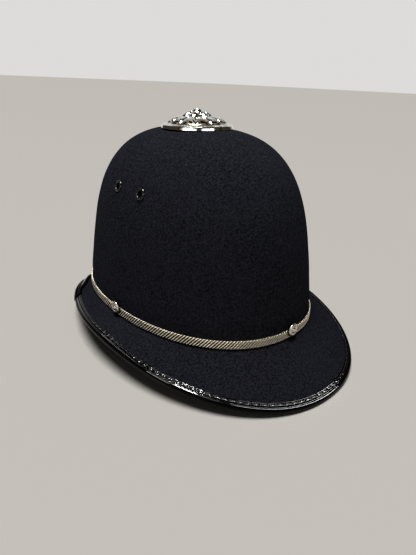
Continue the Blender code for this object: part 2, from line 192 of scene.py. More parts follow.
def wavy(points, normals, size, height):
    """Lift points a little along their normals, as hand-blocked felt is never quite even."""
    finer, weaker = 2.7, 0.5
    flat = [Vector(p) / size for p in points.reshape(-1, 3)]
    lift = np.array([noise.noise(p) + weaker * noise.noise(p * finer) for p in flat])
    return points + normals * (lift * height).reshape(points.shape[:-1])[..., None]


class Finish:
    """A finish as a material's node tree, with short calls to add and join its nodes."""

    def __init__(self, name):
        self.material = bpy.data.materials.new(name)
        self.material.use_nodes = True
        self.tree = self.material.node_tree
        self.shader = self.tree.nodes["Principled BSDF"]
        self.place = self.add("ShaderNodeTexCoord").outputs["Object"]

    def add(self, kind, inputs=None, **settings):
        node = self.tree.nodes.new(kind)
        for key, value in settings.items():
            setattr(node, key, value)
        for key, value in (inputs or {}).items():
            self.give(node.inputs[key], value)
        return node

    def give(self, socket, value):
        """Link another node's output to a socket, or set a plain value on it."""
        if isinstance(value, bpy.types.NodeSocket):
            self.tree.links.new(value, socket)
        else:
            socket.default_value = value

    def set(self, **inputs):
        """Give values to the shader's own sockets."""
        for key, value in inputs.items():
            self.give(self.shader.inputs[key.replace("_", " ")], value)

    def cloud(self, scale, detail=3.0, roughness=0.6):
        """Cloudy pattern fixed to the piece, with scale patches to the metre."""
        inputs = {"Vector": self.place, "Scale": scale, "Detail": detail, "Roughness": roughness}
        return self.add("ShaderNodeTexNoise", inputs).outputs["Fac"]

    def spread(self, value, low, high, to_low=0.0, to_high=1.0):
        """Stretch the part of a pattern between low and high over another span."""
        inputs = {"Value": value, "From Min": low, "From Max": high, "To Min": to_low, "To Max": to_high}
        return self.add("ShaderNodeMapRange", inputs).outputs["Result"]

    def mix(self, share, first, second):
        node = self.add("ShaderNodeMix", data_type="RGBA")
        self.give(node.inputs["Factor"], share)
        self.give(node.inputs["A"], first)
        self.give(node.inputs["B"], second)
        return node.outputs["Result"]

    def combine(self, first, second, operation="ADD"):
        """Add two patterns, or combine them by another operation."""
        node = self.add("ShaderNodeMath", operation=operation)
        self.give(node.inputs[0], first)
        self.give(node.inputs[1], second)
        return node.outputs[0]

    def bump(self, height, depth, strength=1.0, under=None):
        inputs = {"Height": height, "Distance": depth, "Strength": strength}
        if under:
            inputs["Normal"] = under
        return self.add("ShaderNodeBump", inputs).outputs["Normal"]


def felt_look(name, shade):
    """Near-black navy wool felt: matted fibres, a short nap and a few specks of lint."""
    felt = Finish(name)
    dark, light, worn = ([part * shade for part in tone] + [1] for tone in (FELT_DARK, FELT_LIGHT, FELT_WORN))
    nap = felt.cloud(NAP_SCALE, 2.0, 0.6)
    tufts = felt.cloud(TUFT_SCALE, 2.0, 0.5)
    patches = felt.cloud(WORN_PATCH_SCALE, 2.0, 0.5)
    grain = felt.spread(felt.combine(felt.combine(nap, tufts), 0.5, "MULTIPLY"), 0.38, 0.63)
    colour = felt.mix(grain, dark, light)
    colour = felt.mix(felt.spread(patches, 0.35, 0.70, 0.0, 0.25), colour, worn)
    cells = felt.add("ShaderNodeTexVoronoi", {"Vector": felt.place, "Scale": LINT_SCALE})
    lint = felt.spread(cells.outputs["Distance"], 0.055, 0.030)
    chosen = felt.add("ShaderNodeSeparateColor", {"Color": cells.outputs["Color"]}).outputs["Red"]
    lint = felt.combine(lint, felt.spread(chosen, 0.90, 0.92), "MULTIPLY")
    colour = felt.mix(lint, colour, LINT_COLOUR)
    felt.set(Base_Color=colour, Roughness=0.95, Specular_IOR_Level=0.0)
    felt.set(Sheen_Weight=0.008, Sheen_Roughness=0.5, Sheen_Tint=FELT_SHEEN)
    fine = felt.bump(nap, NAP_DEPTH, 0.8)
    felt.set(Normal=felt.bump(tufts, TUFT_DEPTH, 0.5, fine))
    return felt.material


turns = np.linspace(0, math.tau, CROWN_COLUMNS, endpoint=False)
climb = np.sin(np.linspace(0, 1, CROWN_ROWS) ** CROWN_ROW_CROWDING * math.pi / 2)
climb = climb ** (2 / CROWN_SHOULDER_POWER)
climb[-1] = CROWN_TOP
outside = crown_point(turns[None, :], climb[:, None])
outward = crown_normal(turns[None, :], climb[:, None])
wave_share = np.minimum(1, climb * CROWN_WAVE_FADE)[:, None, None]
outside = wavy(outside, outward * wave_share, CROWN_WAVE_SIZE, CROWN_WAVE)
inner_climb = climb[::2, None]
inside = crown_point(turns[None, :], inner_climb) - crown_normal(turns[None, :], inner_climb) * CROWN_WALL
inside[..., 2] = np.maximum(inside[..., 2], CROWN_FOOT_HEIGHT)
foot = [
    outside[0] - outward[0] * CROWN_FOOT_ROUNDING * across + np.array([0, 0, CROWN_FOOT_ROUNDING * up])
    for across, up in CROWN_FOOT_ARC
]
crown_mesh = skin([*inside[::-1], *foot[::-1], *outside[1:]], low_cap=True, high_cap=True)


def eyelet_angle(side, along):
    """Angle round the crown, on its left or right, that lies a distance along behind its middle."""
    rise = EYELET_HEIGHT / CROWN_HEIGHT
    tries = np.linspace(-math.pi / 3, math.pi / 3, EYELET_SEARCH_STEPS)
    behind = crown_point(tries, rise)[:, 1] - crown_axis(rise)[1]
    best = float(np.interp(along, behind, tries))
    return best if side == LEFT else math.pi - best


eyelet_places = {
    "eyelet_left_front": crown_seat(eyelet_angle(LEFT, -EYELET_SPACING / 2), EYELET_HEIGHT),
    "eyelet_left_rear": crown_seat(eyelet_angle(LEFT, EYELET_SPACING / 2), EYELET_HEIGHT),
    "eyelet_right_front": crown_seat(eyelet_angle(RIGHT, -EYELET_SPACING / 2), EYELET_HEIGHT),
    "eyelet_right_rear": crown_seat(eyelet_angle(RIGHT, EYELET_SPACING / 2), EYELET_HEIGHT),
}


def cut_away(mesh, cutter):
    """Cut a closed mesh out of another one, and return the result as a new mesh."""
    body = bpy.data.objects.new("body", mesh)
    tool = bpy.data.objects.new("tool", cutter)
    for item in (body, tool):
        bpy.context.scene.collection.objects.link(item)
    punch = body.modifiers.new("Cut", "BOOLEAN")
    punch.operation = "DIFFERENCE"
    punch.solver = "EXACT"
    punch.object = tool
    bpy.context.view_layer.update()
    seen = body.evaluated_get(bpy.context.evaluated_depsgraph_get())
    result = bpy.data.meshes.new_from_object(seen)
    result.materials.clear()
    bpy.data.objects.remove(body)
    bpy.data.objects.remove(tool)
    return result


punches = bmesh.new()
radius = EYELET_BORE / 2
for place in eyelet_places.values():
    bmesh.ops.create_cone(punches, cap_ends=True, segments=PUNCH_SEGMENTS, radius1=radius, radius2=radius,
                          depth=PUNCH_DEPTH, matrix=place)
punch_mesh = bpy.data.meshes.new("punches")
punches.to_mesh(punch_mesh)
punches.free()
new_piece("felt_crown", cut_away(crown_mesh, punch_mesh), felt_look("navy_felt", 1.0), "felt", "crown")


# Brim
# The brim is a second piece of hard felt: long at the front and back, short and lifted at the sides.
# Its collar is lapped inside the crown's foot, and it turns out under the crown.

BRIM_LENGTH = 0.3205
BRIM_WIDTH = 0.237
BRIM_THICKNESS = 0.0026
BRIM_SIDE_LIFT = 0.0222
BRIM_FRONT_OVAL_POWER = 2.14
BRIM_BACK_OVAL_POWER = 1.90
BRIM_FRONT_SWEEP = 1.29
BRIM_BACK_SWEEP = 2.4
BRIM_FRONT_DROOP = 0.40
BRIM_BACK_DROOP = 0.75
COLLAR_HEIGHT = 0.012
COLLAR_WALL = 0.002
GAP = 0.0003
EDGE_ROLL = 0.0028
EDGE_FLATTENED = 0.0007
BRIM_COLUMNS = 288
BRIM_ROWS = 26
BRIM_WAVE = 0.0002
BRIM_WAVE_SIZE = 0.03
BRIM_WAVE_FADE = 4
COLLAR_ROUNDING = 0.0005
SHELF_SET_IN = 0.0002
NOSE_REACH = 0.8
NOSE_HALF_HEIGHT = 0.5
# The brim's felt is the crown's felt darkened by this share: painted shade
BRIM_PAINTED_SHADE = 0.72


class BrimCurve:
    """Middle line of the brim at many angles: from the crown's foot out to the bound edge."""

    def __init__(self, angle):
        front = np.sin(angle) < 0
        power = np.where(front, BRIM_FRONT_OVAL_POWER, BRIM_BACK_OVAL_POWER)
        sweep = np.where(front, BRIM_FRONT_SWEEP, BRIM_BACK_SWEEP)
        half_length = BRIM_LENGTH / 2 - EDGE_ROLL
        self.end = oval(angle, BRIM_WIDTH / 2 - EDGE_ROLL, half_length, power)
        lift = BRIM_SIDE_LIFT * (1 - (np.abs(self.end[..., 1]) / half_length) ** sweep)
        self.end[..., 2] = EDGE_ROLL - EDGE_FLATTENED + lift
        self.start = crown_point(angle, 0)
        self.start[..., 2] -= GAP + BRIM_THICKNESS / 2
        droop = BRIM_FRONT_DROOP + (BRIM_BACK_DROOP - BRIM_FRONT_DROOP) * (1 + np.sin(angle)) / 2
        self.bend = (self.start + self.end) / 2
        self.bend[..., 2] = self.start[..., 2] - droop * (self.start - self.end)[..., 2]
        outward = self.end - self.start
        outward[..., 2] = 0
        self.side = np.cross(unit(outward), (0, 0, 1))

    def tangent(self, share):
        """Direction outward along the brim, at a share of the way to its edge."""
        share = np.asarray(share)[..., None]
        return unit((self.bend - self.start) * (1 - share) + (self.end - self.bend) * share)

    def normal(self, share):
        return unit(np.cross(self.side, self.tangent(share)))

    def point(self, share, offset):
        """Point at a share of the way to the edge, offset to the upper side."""
        weight = np.asarray(share)[..., None]
        near = self.start * (1 - weight) + self.bend * weight
        far = self.bend * (1 - weight) + self.end * weight
        return near * (1 - weight) + far * weight + self.normal(share) * np.asarray(offset)[..., None]

    def back_from_edge(self, distance):
        """Share of the way that lies a distance back from the edge."""
        return 1 - distance / (2 * np.linalg.norm(self.end - self.bend, axis=-1))

    def edge_point(self, distance, offset):
        """Point a distance back from the bound edge's middle (or beyond it) and offset to the upper side."""
        inner = self.point(self.back_from_edge(np.maximum(distance, 0)), offset)
        beyond = np.maximum(-np.asarray(distance), 0)[..., None]
        return inner + self.tangent(1.0) * beyond


brim_turns = np.linspace(0, math.tau, BRIM_COLUMNS, endpoint=False)
curve = BrimCurve(brim_turns)
wall = crown_normal(brim_turns, 0.0)
wall[..., 2] = 0
wall = unit(wall)
half = BRIM_THICKNESS / 2
set_in = CROWN_WALL + GAP
top_of_collar = crown_point(brim_turns, COLLAR_HEIGHT / CROWN_HEIGHT)
shelf = crown_point(brim_turns, 0) - np.array([0, 0, GAP])
rounding_down = np.array([0, 0, COLLAR_ROUNDING])
collar_rows = [
    shelf - wall * (set_in + COLLAR_WALL) - np.array([0, 0, BRIM_THICKNESS]),
    shelf - wall * (set_in + COLLAR_WALL),
    top_of_collar - wall * (set_in + COLLAR_WALL) - rounding_down,
    top_of_collar - wall * (set_in + COLLAR_WALL - COLLAR_ROUNDING),
    top_of_collar - wall * (set_in + COLLAR_ROUNDING),
    top_of_collar - wall * set_in - rounding_down,
    shelf - wall * set_in + rounding_down,
    shelf - wall * (set_in - COLLAR_ROUNDING),
]
shares = np.linspace(0, 1, BRIM_ROWS)
upper_rows = []
for share in shares[1:]:
    row = curve.point(share, half)
    height = BRIM_WAVE * min(1, BRIM_WAVE_FADE * (1 - share))
    upper_rows.append(wavy(row, curve.normal(share), BRIM_WAVE_SIZE, height))
under_rows = [curve.point(share, -half) for share in shares[::-1]]
nose = [curve.edge_point(-half * NOSE_REACH, half * side * NOSE_HALF_HEIGHT) for side in (1, -1)]
brim_rows = [*collar_rows, shelf - wall * SHELF_SET_IN, *upper_rows, *nose, *under_rows]
brim_mesh = skin(brim_rows, closed_rows=True)
# The brim's felt is a darker copy of the crown's, as painted shade
new_piece("felt_brim", brim_mesh, felt_look("brim_felt", BRIM_PAINTED_SHADE), "felt", "brim")


# Edge binding
# A strip of black patent leather is folded over the brim's edge round a cord, which fills out a round bead.
# It is sewn through on both sides with waxed black thread, and puckers a little between the stitches.

STITCH_PITCH = 0.0062
SAMPLES_PER_STITCH = 8
LINE_STEPS = 14401
PUCKER = 0.00048
PUCKER_SHARPNESS = 0.8
PUCKER_BALANCE = 0.55
PUCKER_UNEVENNESS = 0.8
PUCKER_NOISE_SCALE = 9
PATENT_BLACK = (0.0015, 0.0015, 0.0018, 1)
PATENT_GREY = (0.0035, 0.0035, 0.0040, 1)
PATENT_ROUGHNESS = (0.03, 0.09)
PATENT_GLOSS = 0.1
CREASE_DEPTH = 0.0001

# Section over the edge, from the upper hem to the lower one: how far back from the edge's middle, how far
# above the brim's middle line, and how much of the pucker the leather takes there
BINDING_SECTION = (
    {"back": 0.00560, "above": 0.00165, "pucker": 0.0},
    {"back": 0.00575, "above": 0.00200, "pucker": 0.0},
    {"back": 0.00555, "above": 0.00235, "pucker": 0.1},
    {"back": 0.00510, "above": 0.00250, "pucker": 0.3},
    {"back": 0.00460, "above": 0.00238, "pucker": -0.6},
    {"back": 0.00420, "above": 0.00232, "pucker": -0.9},
    {"back": 0.00380, "above": 0.00245, "pucker": -0.2},
    {"back": 0.00335, "above": 0.00272, "pucker": 0.7},
    {"back": 0.00290, "above": 0.00278, "pucker": 1.0},
    {"back": 0.00245, "above": 0.00258, "pucker": 0.9},
    {"back": 0.00205, "above": 0.00222, "pucker": 0.4},
    {"back": 0.00165, "above": 0.00218, "pucker": 0.0},
    {"back": 0.00125, "above": 0.00250, "pucker": 0.0},
    {"back": 0.00070, "above": 0.00282, "pucker": 0.0},
    {"back": 0.00000, "above": 0.00294, "pucker": 0.0},
    {"back": -0.00075, "above": 0.00277, "pucker": 0.0},
    {"back": -0.00145, "above": 0.00235, "pucker": 0.0},
    {"back": -0.00205, "above": 0.00178, "pucker": 0.0},
    {"back": -0.00248, "above": 0.00105, "pucker": 0.0},
    {"back": -0.00270, "above": 0.00030, "pucker": 0.0},
    {"back": -0.00268, "above": -0.00050, "pucker": 0.0},
    {"back": -0.00240, "above": -0.00125, "pucker": 0.0},
    {"back": -0.00188, "above": -0.00190, "pucker": 0.0},
    {"back": -0.00120, "above": -0.00240, "pucker": 0.0},
    {"back": -0.00040, "above": -0.00270, "pucker": 0.0},
    {"back": 0.00040, "above": -0.00270, "pucker": 0.0},
    {"back": 0.00120, "above": -0.00240, "pucker": 0.0},
    {"back": 0.00180, "above": -0.00218, "pucker": 0.0},
    {"back": 0.00240, "above": -0.00245, "pucker": -0.6},
    {"back": 0.00300, "above": -0.00270, "pucker": -1.0},
    {"back": 0.00360, "above": -0.00255, "pucker": -0.3},
    {"back": 0.00420, "above": -0.00232, "pucker": 0.8},
    {"back": 0.00480, "above": -0.00240, "pucker": 0.3},
    {"back": 0.00540, "above": -0.00240, "pucker": 0.0},
    {"back": 0.00575, "above": -0.00200, "pucker": 0.0},
    {"back": 0.00560, "above": -0.00165, "pucker": 0.0},
    {"back": 0.00300, "above": -0.00160, "pucker": 0.0},
    {"back": 0.00000, "above": -0.00160, "pucker": 0.0},
    {"back": -0.00110, "above": -0.00110, "pucker": 0.0},
    {"back": -0.00160, "above": 0.00000, "pucker": 0.0},
    {"back": -0.00110, "above": 0.00110, "pucker": 0.0},
    {"back": 0.00000, "above": 0.00160, "pucker": 0.0},
    {"back": 0.00300, "above": 0.00160, "pucker": 0.0},
)


def even_angles(line, count):
    """Angles at even distances along a closed line round the helmet, and the line's length."""
    dense = np.linspace(0, math.tau, LINE_STEPS)
    points = line(dense)
    steps = np.linalg.norm(np.diff(points, axis=0), axis=1)
    travelled = np.concatenate([[0], np.cumsum(steps)])
    wanted = np.linspace(0, travelled[-1], count, endpoint=False)
    return np.interp(wanted, travelled, dense), travelled[-1]


edge_length = even_angles(lambda a: BrimCurve(a).end, 8)[1]
stitch_count = round(edge_length / STITCH_PITCH)
binding_turns = even_angles(lambda a: BrimCurve(a).end, stitch_count * SAMPLES_PER_STITCH)[0]
binding_curve = BrimCurve(binding_turns)
along_stitch = np.arange(len(binding_turns)) / SAMPLES_PER_STITCH
jitter = []
for angle in binding_turns:
    across, along = math.cos(angle) * PUCKER_NOISE_SCALE, math.sin(angle) * PUCKER_NOISE_SCALE
    jitter.append(noise.noise(Vector((across, along, 0.5))))
jitter = np.array(jitter)
pucker = np.abs(np.cos(math.pi * along_stitch)) ** PUCKER_SHARPNESS - PUCKER_BALANCE
pucker = pucker * (1 + PUCKER_UNEVENNESS * jitter)
binding_rows = []
for row in BINDING_SECTION:
    above = row["above"] + PUCKER * row["pucker"] * pucker
    points = binding_curve.edge_point(np.full(len(binding_turns), row["back"]), above)
    points[:, 2] = np.maximum(points[:, 2], 0)
    binding_rows.append(points)


def patent_look(name, gloss):
    """Black patent leather: a hard gloss over leather that still shows its grain and a few dull scuffs."""
    patent = Finish(name)
    creases = patent.cloud(240, 3.0, 0.55)
    broad = patent.cloud(35, 2.0, 0.5)
    scuffs = patent.spread(patent.cloud(90, 4.0, 0.65), 0.60, 0.75)
    colour = patent.mix(patent.spread(broad, 0.3, 0.7), PATENT_BLACK, PATENT_GREY)
    patent.set(Base_Color=colour, Roughness=patent.spread(scuffs, 0, 1, *PATENT_ROUGHNESS))
    patent.set(Specular_IOR_Level=gloss)
    patent.set(Normal=patent.bump(creases, CREASE_DEPTH, 0.08))
    return patent.material


binding_mesh = skin(binding_rows, closed_rows=True)
patent_leather = patent_look("patent_leather", PATENT_GLOSS)
binding = new_piece("patent_binding", binding_mesh, patent_leather, "patent_leather", "edge_binding")


# Binding lap
# The binding's two ends meet at the right rear, where the one is lapped over the other. The end is doubled
# and cut broader, as a tab with rounded corners. Its leather has lost most of its gloss.

LAP_CLEARANCE = 0.00006
LAP_STEPS = 110
LAP_SECTION_ROWS = 36
LAP_HEM_ROWS = 4
LAP_GLOSS = 0.012

# From the rear end to the front one: how far the leather stands off the binding, and how much broader it is
LAP_SHAPE = (
    {"degrees": 116.0, "rise": 0.0000, "widening": 0.0000},
    {"degrees": 118.0, "rise": 0.0007, "widening": 0.0000},
    {"degrees": 119.0, "rise": 0.0009, "widening": 0.0042},
    {"degrees": 120.5, "rise": 0.0011, "widening": 0.0056},
    {"degrees": 127.0, "rise": 0.0018, "widening": 0.0060},
    {"degrees": 137.0, "rise": 0.0014, "widening": 0.0062},
    {"degrees": 139.3, "rise": 0.0012, "widening": 0.0050},
    {"degrees": 140.5, "rise": 0.0010, "widening": 0.0000},
    {"degrees": 147.4, "rise": 0.0007, "widening": 0.0000},
    {"degrees": 148.0, "rise": 0.0000, "widening": 0.0000},
)
lap_degrees = np.linspace(LAP_SHAPE[0]["degrees"], LAP_SHAPE[-1]["degrees"], LAP_STEPS)
lap_curve = BrimCurve(np.radians(lap_degrees))
lap_at = [row["degrees"] for row in LAP_SHAPE]
lap_rise = LAP_CLEARANCE + np.interp(lap_degrees, lap_at, [row["rise"] for row in LAP_SHAPE])
lap_widening = np.interp(lap_degrees, lap_at, [row["widening"] for row in LAP_SHAPE])
outline = np.array([(row["back"], row["above"]) for row in BINDING_SECTION[:LAP_SECTION_ROWS]])
onward = unit(np.gradient(outline, axis=0))
away = np.stack([onward[:, 1], -onward[:, 0]], -1)
lap_columns = []
for rise in (lap_rise, np.full(len(lap_degrees), LAP_CLEARANCE)):
    sheet = []
    for number, (place, direction) in enumerate(zip(outline, away)):
        back, above = place[:, None] + direction[:, None] * rise
        if number < LAP_HEM_ROWS:
            back = back + lap_widening
        points = lap_curve.edge_point(back, above)
        points[:, 2] = np.maximum(points[:, 2], 0)
        sheet.append(points)
    lap_columns += sheet[::-1] if lap_columns else sheet
lap_mesh = skin(np.stack(lap_columns, axis=1), low_cap=True, high_cap=True)
new_piece("binding_lap", lap_mesh, patent_look("lap_leather", LAP_GLOSS), "patent_leather")


# Binding stitches
# The binding is sewn on with waxed black linen thread, in one row above and one below. Each stitch is a short
# bar of thread that lies in a dip of the leather and dives in at both ends.

THREAD_RADIUS = 0.00030
THREAD_SIDES = 6
THREAD_DARK = (0.010, 0.010, 0.011, 1)
THREAD_LIGHT = (0.035, 0.034, 0.034, 1)
STITCH_ROW_BACK = 0.0042
STITCH_ROW_ABOVE = 0.0024
STITCH_SHAPE = (
    {"along": -0.46, "sink": 1.6, "width": 0.55},
    {"along": -0.38, "sink": 0.5, "width": 0.85},
    {"along": -0.22, "sink": 0.0, "width": 1.0},
    {"along": 0.00, "sink": -0.1, "width": 1.0},
    {"along": 0.22, "sink": 0.0, "width": 1.0},
    {"along": 0.38, "sink": 0.5, "width": 0.85},
    {"along": 0.46, "sink": 1.6, "width": 0.55},
)


def joined(meshes):
    """One mesh that holds several closed ones."""
    whole = bmesh.new()
    for mesh in meshes:
        whole.from_mesh(mesh)
        bpy.data.meshes.remove(mesh)
    result = bpy.data.meshes.new("joined")
    whole.to_mesh(result)
    whole.free()
    return result


def tube(path, side, up, radii, up_radii=None, sides=THREAD_SIDES, closed=False):
    """Round or flattened rod along a path, given its sideways and upward directions."""
    up_radii = radii if up_radii is None else up_radii
    rows = []
    for k in range(sides):
        turn = math.tau * (k + 0.5) / sides
        across = side * (math.cos(turn) * radii)[..., None]
        rows.append(path + across + up * (math.sin(turn) * up_radii)[..., None])
    rows = np.stack(rows, axis=1)
    return skin(rows, closed_rows=closed, low_cap=not closed, high_cap=not closed)


stitches = []
along, sink, width = (np.array([row[key] for row in STITCH_SHAPE]) for key in ("along", "sink", "width"))
full_turns = np.append(binding_turns, binding_turns[0] + math.tau)
for number in range(stitch_count):
    for above in (1, -1):
        steps = (number + 0.5 + along) * SAMPLES_PER_STITCH
        angles = np.interp(steps, np.arange(len(full_turns)), full_turns)
        here = BrimCurve(angles)
        height = STITCH_ROW_ABOVE - sink * THREAD_RADIUS
        path = here.edge_point(np.full(len(angles), STITCH_ROW_BACK), above * height)
        up = here.normal(1.0) * above
        side = unit(np.cross(np.gradient(path, axis=0), up))
        stitches.append(tube(path, side, up, width * THREAD_RADIUS))


def thread_look():
    """Waxed black linen thread: two plies that show as fine slanting ridges."""
    thread = Finish("waxed_thread")
    plies = thread.cloud(2600, 2.0, 0.5)
    colour = thread.mix(plies, THREAD_DARK, THREAD_LIGHT)
    thread.set(Base_Color=colour, Roughness=0.45)
    thread.set(Normal=thread.bump(plies, 0.0002, 0.5))
    return thread.material


new_piece("binding_stitches", joined(stitches), thread_look(), "patent_leather")


# Wire band
# Five bright wires are wound side by side, well spaced, round a thin dark strip, and run right round the
# crown's foot. On the outer side they all slant up to the right, and they turn over the strip's edges.

BAND_HEIGHT = 0.0076
BAND_THICKNESS = 0.0017
BAND_GAP = 0.0003
BAND_STEP = 0.001
WIRE_PITCH = 0.00270
WIRE_STARTS = 5
WIRE_HALF_WIDTH = 0.00043
WIRE_HALF_DEPTH = 0.00028
WIRE_SIDES = 8
WIRE_STEPS_PER_TURN = 32
WIRE_DIP = 0.00010
WIRE_DIP_HEIGHT = 0.0009
WIRE_ZIGZAG = 0.985
WIRE_FLIP = 5
WIRE_BEND_FROM = 0.80
WIRE_BEND_TILT = 0.6
WIRE_BRIGHT = (0.92, 0.85, 0.70, 1)
WIRE_TARNISH = (0.72, 0.63, 0.47, 1)
WIRE_ROUGHNESS = (0.26, 0.38)


def band_line(angle):
    """Middle line of the band's seat on the crown."""
    return crown_point(angle, (BAND_GAP + BAND_HEIGHT / 2) / CROWN_HEIGHT)


def band_frame(angle, height):
    """Point of the crown beside the band, and the outward and upward directions there."""
    rise = np.maximum((BAND_GAP + BAND_HEIGHT / 2 + height) / CROWN_HEIGHT, 0)
    base = crown_point(angle, rise)
    outward = crown_normal(angle, rise)
    along = unit(crown_point(angle + BAND_STEP, rise) - crown_point(angle - BAND_STEP, rise))
    return base, outward, np.cross(outward, along)


band_length = even_angles(band_line, 8)[1]
wire_turns = round(band_length / (WIRE_PITCH * WIRE_STARTS))
wires = []
for start in range(WIRE_STARTS):
    count = wire_turns * WIRE_STEPS_PER_TURN
    angles = even_angles(band_line, count)[0]
    turn = math.tau * (np.arange(count) / WIRE_STEPS_PER_TURN + start / WIRE_STARTS)
    swing = np.arcsin(np.sin(turn) * WIRE_ZIGZAG) / math.asin(WIRE_ZIGZAG)
    height = swing * (BAND_HEIGHT / 2 - WIRE_HALF_DEPTH)
    facing = np.tanh(np.cos(turn) * WIRE_FLIP)
    dip = WIRE_DIP * np.exp(-((height / WIRE_DIP_HEIGHT) ** 2)) * (np.cos(turn) > 0)
    depth = BAND_GAP + BAND_THICKNESS / 2 + (BAND_THICKNESS / 2 - WIRE_HALF_DEPTH) * facing - dip
    base, outward, upward = band_frame(angles, height)
    path = base + outward * depth[:, None]
    bend = np.clip(np.abs(swing) - WIRE_BEND_FROM, 0, 1) / (1 - WIRE_BEND_FROM)
    up = outward * (facing * (1 - bend * WIRE_BEND_TILT))[:, None] + upward * (np.sign(swing) * bend)[:, None]
    tangent = unit(np.roll(path, -1, axis=0) - np.roll(path, 1, axis=0))
    side = unit(np.cross(tangent, unit(up)))
    up = np.cross(side, tangent)
    half_width, half_depth = np.full(count, WIRE_HALF_WIDTH), np.full(count, WIRE_HALF_DEPTH)
    wires.append(tube(path, side, up, half_width, half_depth, WIRE_SIDES, closed=True))


def wire_look():
    """Nickel silver wire with a warm tone: drawn marks and a brown tarnish where hands don't rub."""
    wire = Finish("silver_wire")
    stretched = wire.cloud(700, 3.0, 0.6)
    tarnish = wire.spread(wire.cloud(130, 3.0, 0.6), 0.40, 0.70)
    colour = wire.mix(tarnish, WIRE_BRIGHT, WIRE_TARNISH)
    wire.set(Base_Color=colour, Metallic=0.65, Roughness=wire.spread(stretched, 0.3, 0.7, *WIRE_ROUGHNESS))
    wire.set(Normal=wire.bump(stretched, 0.0001, 0.4))
    return wire.material


wire_band = new_piece("wire_band", joined(wires), wire_look(), "silver_wire", "chain_band")


# Band core
# The wires are wound round a flat black tape, which shows as dark slots between them. It is woven from
# cotton, and its ridged outer face keeps clear of the wires.

CORE_HALF_DEPTH = 0.00040
CORE_HALF_HEIGHT = 0.0029
CORE_COLUMNS = 360
CORE_DARK = (0.004, 0.003, 0.002, 1)
CORE_LIGHT = (0.015, 0.011, 0.006, 1)

# Closed outline of the tape, as shares of its half height and half depth
CORE_OUTLINE = (
    {"up": -1, "out": -1},
    {"up": -1.05, "out": 0},
    {"up": -1, "out": 1},
    {"up": -0.4, "out": 1},
    {"up": 0, "out": 0.3},
    {"up": 0.4, "out": 1},
    {"up": 1, "out": 1},
    {"up": 1.05, "out": 0},
    {"up": 1, "out": -1},
    {"up": 0, "out": -1},
)
core_turns = even_angles(band_line, CORE_COLUMNS)[0]
core_rows = []
for row in CORE_OUTLINE:
    base, outward, upward = band_frame(core_turns, np.full(CORE_COLUMNS, row["up"] * CORE_HALF_HEIGHT))
    core_rows.append(base + outward * (BAND_GAP + BAND_THICKNESS / 2 + row["out"] * CORE_HALF_DEPTH))


def core_look():
    """Black cotton tape with a fine weave."""
    core = Finish("core_tape")
    weave = core.cloud(1800, 2.0, 0.5)
    core.set(Base_Color=core.mix(weave, CORE_DARK, CORE_LIGHT), Roughness=0.95)
    core.set(Normal=core.bump(weave, 0.0003, 0.6))
    return core.material


new_piece("band_core", skin(core_rows, closed_rows=True), core_look(), "felt")


# Band studs
# Four turned and plated studs pin the band at the front, the back and both sides. Each has a domed head with
# a raised rim and a small boss, and a shank that passes through the felt and is clenched over inside.

STUD_HEIGHT = 0.0072
STUD_BACK = 0.0025
STUD_SEGMENTS = 40
STUD_BRIGHT = (0.80, 0.77, 0.70, 1)
STUD_DULL = (0.60, 0.55, 0.46, 1)
STUD_POLISH = (0.20, 0.32)

# Turned outline from the middle of the head to the middle of the clenched end
STUD_OUTLINE = (
    {"radius": 0.00000, "out": 0.00300},
    {"radius": 0.00090, "out": 0.00292},
    {"radius": 0.00165, "out": 0.00266},
    {"radius": 0.00212, "out": 0.00228},
    {"radius": 0.00230, "out": 0.00192},
    {"radius": 0.00252, "out": 0.00170},
    {"radius": 0.00290, "out": 0.00164},
    {"radius": 0.00340, "out": 0.00178},
    {"radius": 0.00400, "out": 0.00190},
    {"radius": 0.00460, "out": 0.00184},
    {"radius": 0.00515, "out": 0.00165},
    {"radius": 0.00560, "out": 0.00132},
    {"radius": 0.00583, "out": 0.00095},
    {"radius": 0.00578, "out": 0.00066},
    {"radius": 0.00550, "out": 0.00058},
    {"radius": 0.00110, "out": 0.00058},
    {"radius": 0.00110, "out": -0.00840},
    {"radius": 0.00220, "out": -0.00840},
    {"radius": 0.00250, "out": -0.00880},
    {"radius": 0.00200, "out": -0.00920},
)


def turned(outline, segments, place, lift=0.0, closed=False):
    """Turn an outline about a place's own Z axis, lifted along it."""
    on_axis = 1e-5
    angles = np.linspace(0, math.tau, segments, endpoint=False)
    across = np.stack([np.cos(angles), np.sin(angles), np.zeros(segments)], -1)
    rows = [across * max(row["radius"], on_axis) + np.array([0, 0, lift + row["out"]]) for row in outline]
    mesh = skin(rows, closed_rows=closed, low_cap=not closed, high_cap=not closed)
    mesh.transform(place)
    return mesh


def plate_look(name, bright, dull, patch=160, edge=(0.4, 0.7), polish=(0.07, 0.20)):
    """Bright plate with tiny pits, and random patches of a rougher, duller tone: a faint handling film on the
    studs, and brown painted reflections on the rose.
    """
    plate = Finish(name)
    haze_and_reflection_patches = plate.cloud(patch, 4.0, 0.6)
    pits = plate.cloud(1400, 2.0, 0.5)
    # On the rose this mix lays painted reflections on the plate
    plate.set(Base_Color=plate.mix(plate.spread(haze_and_reflection_patches, *edge), bright, dull), Metallic=1.0)
    plate.set(Roughness=plate.spread(haze_and_reflection_patches, 0.3, 0.75, *polish))
    plate.set(Normal=plate.bump(pits, 0.00008, 0.4))
    return plate.material


chrome = plate_look("bright_plate", STUD_BRIGHT, STUD_DULL, polish=STUD_POLISH)
stud_places = {
    "stud_front": crown_seat(FRONT, STUD_HEIGHT),
    "stud_left": crown_seat(LEFT, STUD_HEIGHT),
    "stud_back": crown_seat(BACK, STUD_HEIGHT),
    "stud_right": crown_seat(RIGHT, STUD_HEIGHT),
}
studs = []
for node, place in stud_places.items():
    stud_mesh = turned(STUD_OUTLINE, STUD_SEGMENTS, place, STUD_BACK)
    studs.append(new_piece("plated_" + node, stud_mesh, chrome, "chrome", node))
